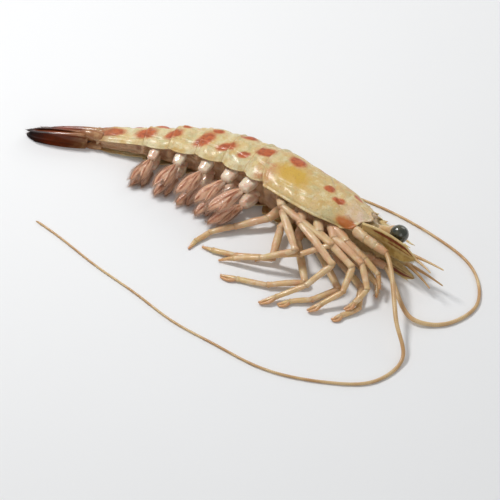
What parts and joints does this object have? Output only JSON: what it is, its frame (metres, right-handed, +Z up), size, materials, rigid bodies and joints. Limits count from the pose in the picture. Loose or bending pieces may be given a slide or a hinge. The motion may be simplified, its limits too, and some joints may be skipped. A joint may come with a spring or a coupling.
{
  "type": "raw prawn",
  "caption": "Whole raw striped prawn lying on its side, with plated shell, head, eyes, legs, swimmerets, folded tail fan and long feelers",
  "frame": {"origin": "middle of the prawn's outline, feelers included, on the surface that it lies on", "axes": "+X points from the tail to the snout, +Y from the legs to the back, +Z up out of the surface, through the right flank"},
  "size_m": [0.2019, 0.1056, 0.0208],
  "materials": {
    "shell": "wet, glossy",
    "limbs": "wet, glossy",
    "eye": "wet, glossy",
    "tail_fan": "wet, glossy",
    "feelers": "satin"
  },
  "bodies": {
    "root": {"prawn": "shell"}
  },
  "joints": []
}
